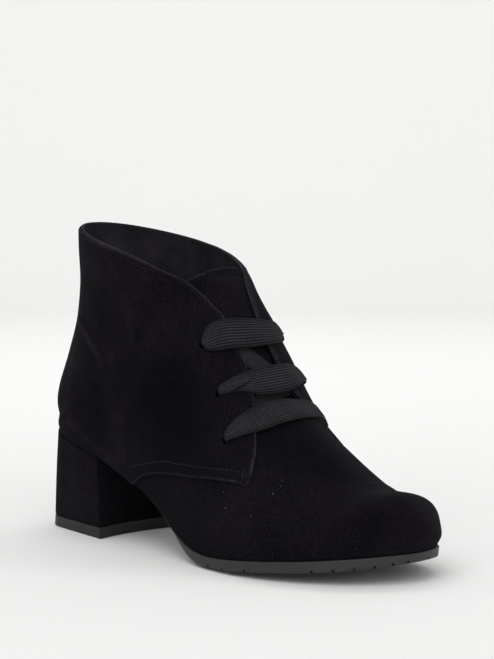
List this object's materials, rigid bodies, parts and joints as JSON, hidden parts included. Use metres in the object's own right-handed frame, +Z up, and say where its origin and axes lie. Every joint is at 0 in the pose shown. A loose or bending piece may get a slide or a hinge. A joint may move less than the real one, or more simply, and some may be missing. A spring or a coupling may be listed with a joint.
{
  "type": "ankle boot",
  "caption": "Lace-up suede ankle boot for the right foot, with a hollow lasted upper, tongue, flat laces, rubber outsole and covered block heel with a rubber lift.",
  "frame": {"origin": "centre of the boot's bounding box, on the floor", "axes": "+Z up, toe towards -Y, outer (little toe) side towards -X"},
  "size_m": [0.0904, 0.2478, 0.1626],
  "materials": {
    "suede": "matt napped suede, near black",
    "rubber": "satin moulded rubber, dark grey",
    "lining": "matt lining leather, dark",
    "lace": "flat woven cotton lace, charcoal"
  },
  "bodies": {
    "root": {"upper": "suede", "tongue": "suede", "heel_block": "suede", "outsole": "rubber", "heel_lift": "rubber", "insole": "lining", "lace_bar_1": "lace", "lace_bar_2": "lace", "lace_bar_3": "lace", "lace_cross_1": "lace", "lace_cross_2": "lace"}
  },
  "joints": []
}
